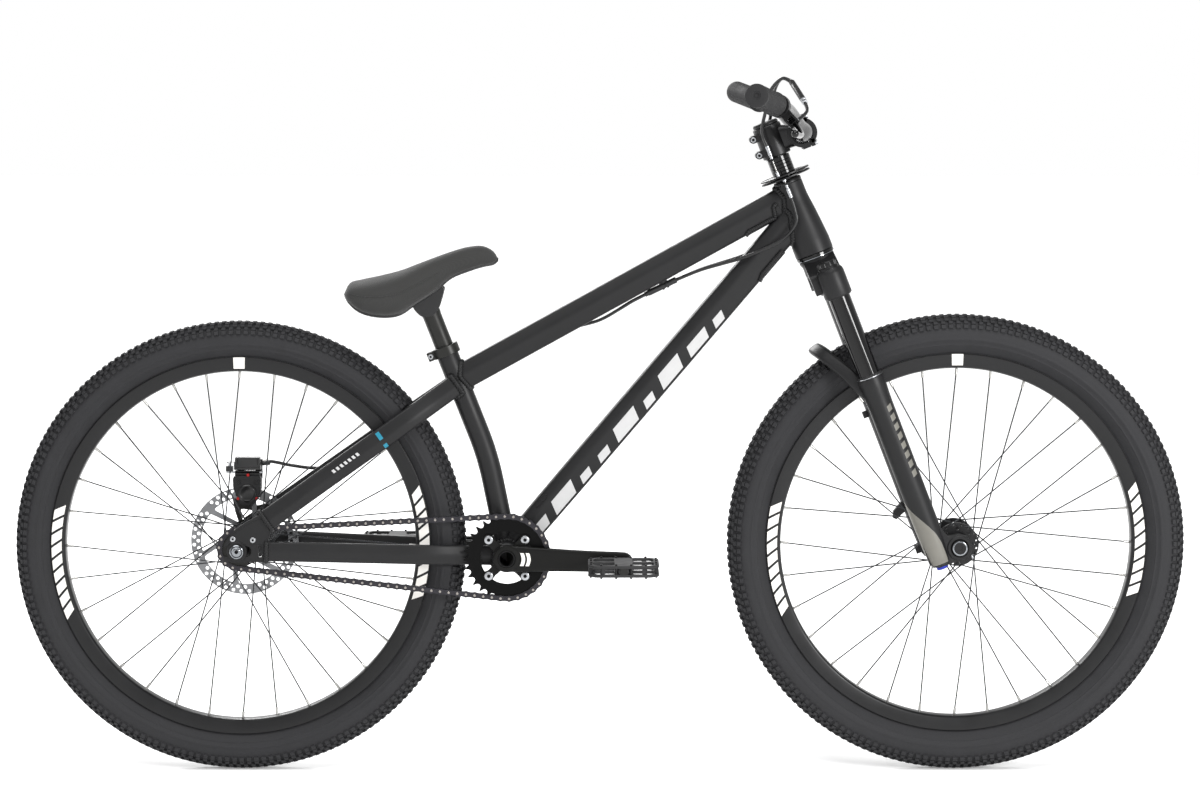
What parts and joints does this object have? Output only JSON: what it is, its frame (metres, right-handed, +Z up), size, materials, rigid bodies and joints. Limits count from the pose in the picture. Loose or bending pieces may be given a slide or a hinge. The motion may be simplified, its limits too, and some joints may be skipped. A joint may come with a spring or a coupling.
{
  "type": "dirt jump bike",
  "caption": "Low rigid frame bike for dirt jumps: suspension fork, single speed chain drive, rear disc brake with a cable rotor, wide riser bar and a short saddle.",
  "frame": {"origin": "on the ground, under the middle of the length and the width of the bike", "axes": "+X forward, the way the bike rolls; +Z up; the drive side faces -Y"},
  "size_m": [1.721, 0.7504, 1.0207],
  "materials": {
    "matte_black_paint": "matte",
    "anodised_black": "satin",
    "gloss_black_tube": "gloss",
    "forged_grey": "satin",
    "tyre_rubber": "matte",
    "grip_rubber": "matte",
    "cable_cover": "satin",
    "spoke_steel": "satin",
    "bright_steel": "brushed",
    "chrome_bolt": "polished",
    "chain_steel": "satin",
    "pedal_grey": "satin",
    "saddle_shell": "matte",
    "saddle_cover": "matte"
  },
  "bodies": {
    "frame": {"head_tube": "matte_black_paint", "top_tube": "matte_black_paint", "down_tube": "matte_black_paint", "seat_tube": "matte_black_paint", "bottom_bracket_shell": "matte_black_paint", "seat_clamp": "anodised_black", "chainstay_right": "matte_black_paint", "chainstay_left": "matte_black_paint", "seatstay_right": "matte_black_paint", "seatstay_left": "matte_black_paint", "dropout_right": "matte_black_paint", "dropout_left": "matte_black_paint", "rear_axle": "chrome_bolt", "rear_caliper": "anodised_black", "chain": "chain_steel", "lower_brake_cable": "cable_cover", "rear_brake_cable": "cable_cover", "headset_upper_cup": "anodised_black", "headset_lower_cup": "anodised_black"},
    "steering": {"steerer_tube": "anodised_black", "fork_crown": "matte_black_paint", "stanchion_right": "gloss_black_tube", "stanchion_left": "gloss_black_tube", "stem": "anodised_black", "stem_faceplate": "anodised_black", "stem_top_cap": "anodised_black", "headset_spacers": "anodised_black", "handlebar": "anodised_black", "grip_right": "grip_rubber", "grip_left": "grip_rubber", "brake_lever_clamp": "anodised_black", "upper_brake_cable": "cable_cover"},
    "brake_lever": {"brake_lever_blade": "anodised_black"},
    "gyro_upper": {"gyro_upper_plate": "anodised_black"},
    "gyro_lower": {"gyro_lower_plate": "anodised_black"},
    "fork_slider": {"fork_lowers": "matte_black_paint", "front_axle": "anodised_black"},
    "front_wheel": {"front_tyre": "tyre_rubber", "front_rim": "anodised_black", "front_spokes_right": "spoke_steel", "front_spokes_left": "spoke_steel", "front_hub": "anodised_black"},
    "rear_wheel": {"rear_tyre": "tyre_rubber", "rear_rim": "anodised_black", "rear_spokes_right": "spoke_steel", "rear_spokes_left": "spoke_steel", "rear_hub": "anodised_black", "brake_rotor": "bright_steel"},
    "cog": {"rear_cog": "bright_steel"},
    "crankset": {"crank_arm_right": "forged_grey", "crank_arm_left": "forged_grey", "chainring": "anodised_black", "crank_spindle": "bright_steel"},
    "pedal_right": {"pedal_right": "pedal_grey"},
    "pedal_left": {"pedal_left": "pedal_grey"},
    "post": {"seat_post": "anodised_black"},
    "saddle": {"saddle_base": "saddle_shell", "saddle_pad": "saddle_cover"},
    "caliper_arm": {"caliper_arm": "anodised_black"}
  },
  "joints": [
    {"name": "steering_turn", "type": "hinge", "parent": "frame", "child": "steering", "pos_m": [0.48527, 0, 0.32217], "axis": [-0.3616, 0, 0.9323], "continuous": true},
    {"name": "fork_compression", "type": "slide", "parent": "steering", "child": "fork_slider", "axis": [-0.3616, 0, 0.9323], "range_m": [0, 0.1], "stiffness_N_per_m": 4000, "springref_m": -0.02},
    {"name": "front_wheel_spin", "type": "hinge", "parent": "fork_slider", "child": "front_wheel", "pos_m": [0.5235, 0, 0.337], "axis": [0, 1, 0], "continuous": true},
    {"name": "rear_wheel_spin", "type": "hinge", "parent": "frame", "child": "rear_wheel", "pos_m": [-0.5285, 0, 0.332], "axis": [0, 1, 0], "continuous": true},
    {"name": "crank_spin", "type": "hinge", "parent": "frame", "child": "crankset", "pos_m": [-0.1361, 0, 0.3195], "axis": [0, 1, 0], "continuous": true},
    {"name": "cog_spin", "type": "hinge", "parent": "frame", "child": "cog", "pos_m": [-0.5285, 0, 0.332], "axis": [0, 1, 0], "continuous": true},
    {"name": "pedal_right_spin", "type": "hinge", "parent": "crankset", "child": "pedal_right", "pos_m": [0.03386, 0, 0.31594], "axis": [0, 1, 0], "continuous": true},
    {"name": "pedal_left_spin", "type": "hinge", "parent": "crankset", "child": "pedal_left", "pos_m": [-0.30606, 0, 0.32306], "axis": [0, 1, 0], "continuous": true},
    {"name": "brake_pull", "type": "hinge", "parent": "steering", "child": "brake_lever", "pos_m": [0.27175, -0.21977, 0.9562], "axis": [-0.7132, 0.097, -0.6942], "range_deg": [0, 20], "stiffness_Nm_per_rad": 3, "springref_deg": -8.59},
    {"name": "gyro_upper_lift", "type": "slide", "parent": "steering", "child": "gyro_upper", "axis": [-0.3616, 0, 0.9323], "range_m": [0, 0.008]},
    {"name": "gyro_lower_lift", "type": "slide", "parent": "frame", "child": "gyro_lower", "axis": [-0.3616, 0, 0.9323], "range_m": [0, 0.008]},
    {"name": "caliper_arm_turn", "type": "hinge", "parent": "frame", "child": "caliper_arm", "pos_m": [-0.5235, 0.0668, 0.4168], "axis": [0, 1, 0], "range_deg": [0, 25]},
    {"name": "seat_height", "type": "slide", "parent": "frame", "child": "post", "axis": [-0.3659, 0, 0.9307], "range_m": [-0.02, 0.06]},
    {"name": "saddle_tilt", "type": "hinge", "parent": "post", "child": "saddle", "pos_m": [-0.25204, 0, 0.68563], "axis": [0, 1, 0], "range_deg": [-8, 8]}
  ],
  "couplings": [
    {"joint": "cog_spin", "follows": "crank_spin", "ratio": 2.1429},
    {"joint": "gyro_upper_lift", "follows": "brake_pull", "m_per_rad": 0.022895},
    {"joint": "gyro_lower_lift", "follows": "brake_pull", "m_per_rad": 0.022895},
    {"joint": "caliper_arm_turn", "follows": "brake_pull", "ratio": 1.2488}
  ]
}
